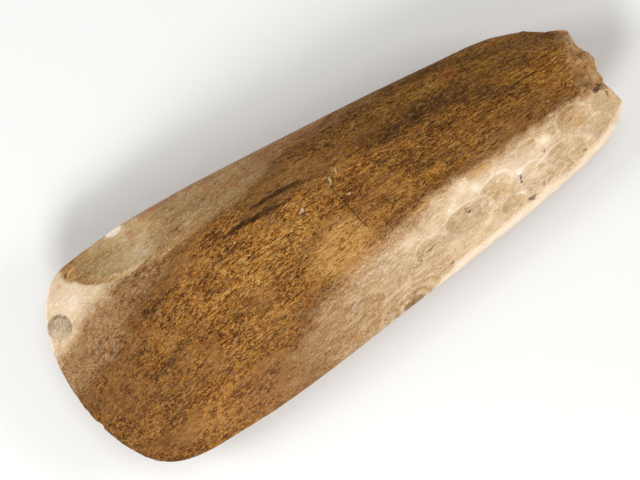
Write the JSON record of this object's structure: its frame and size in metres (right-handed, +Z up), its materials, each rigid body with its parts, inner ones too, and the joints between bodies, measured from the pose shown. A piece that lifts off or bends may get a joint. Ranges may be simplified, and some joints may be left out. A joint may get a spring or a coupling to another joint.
{
  "type": "polished stone axe head",
  "caption": "Polished stone axe head lying on its side: a broad curved cutting edge, a faceted body that narrows towards the butt, and a butt that is broken off",
  "frame": {"origin": "bottom centre of the bounding box, at the small flat on the underside that the stone lies on", "axes": "+X runs from the cutting edge to the broken butt, +Y is the left side seen from above with the butt ahead, +Z is up"},
  "size_m": [0.1806, 0.0702, 0.0357],
  "materials": {
    "stone": "satin"
  },
  "bodies": {
    "root": {"axe_head": "stone"}
  },
  "joints": []
}
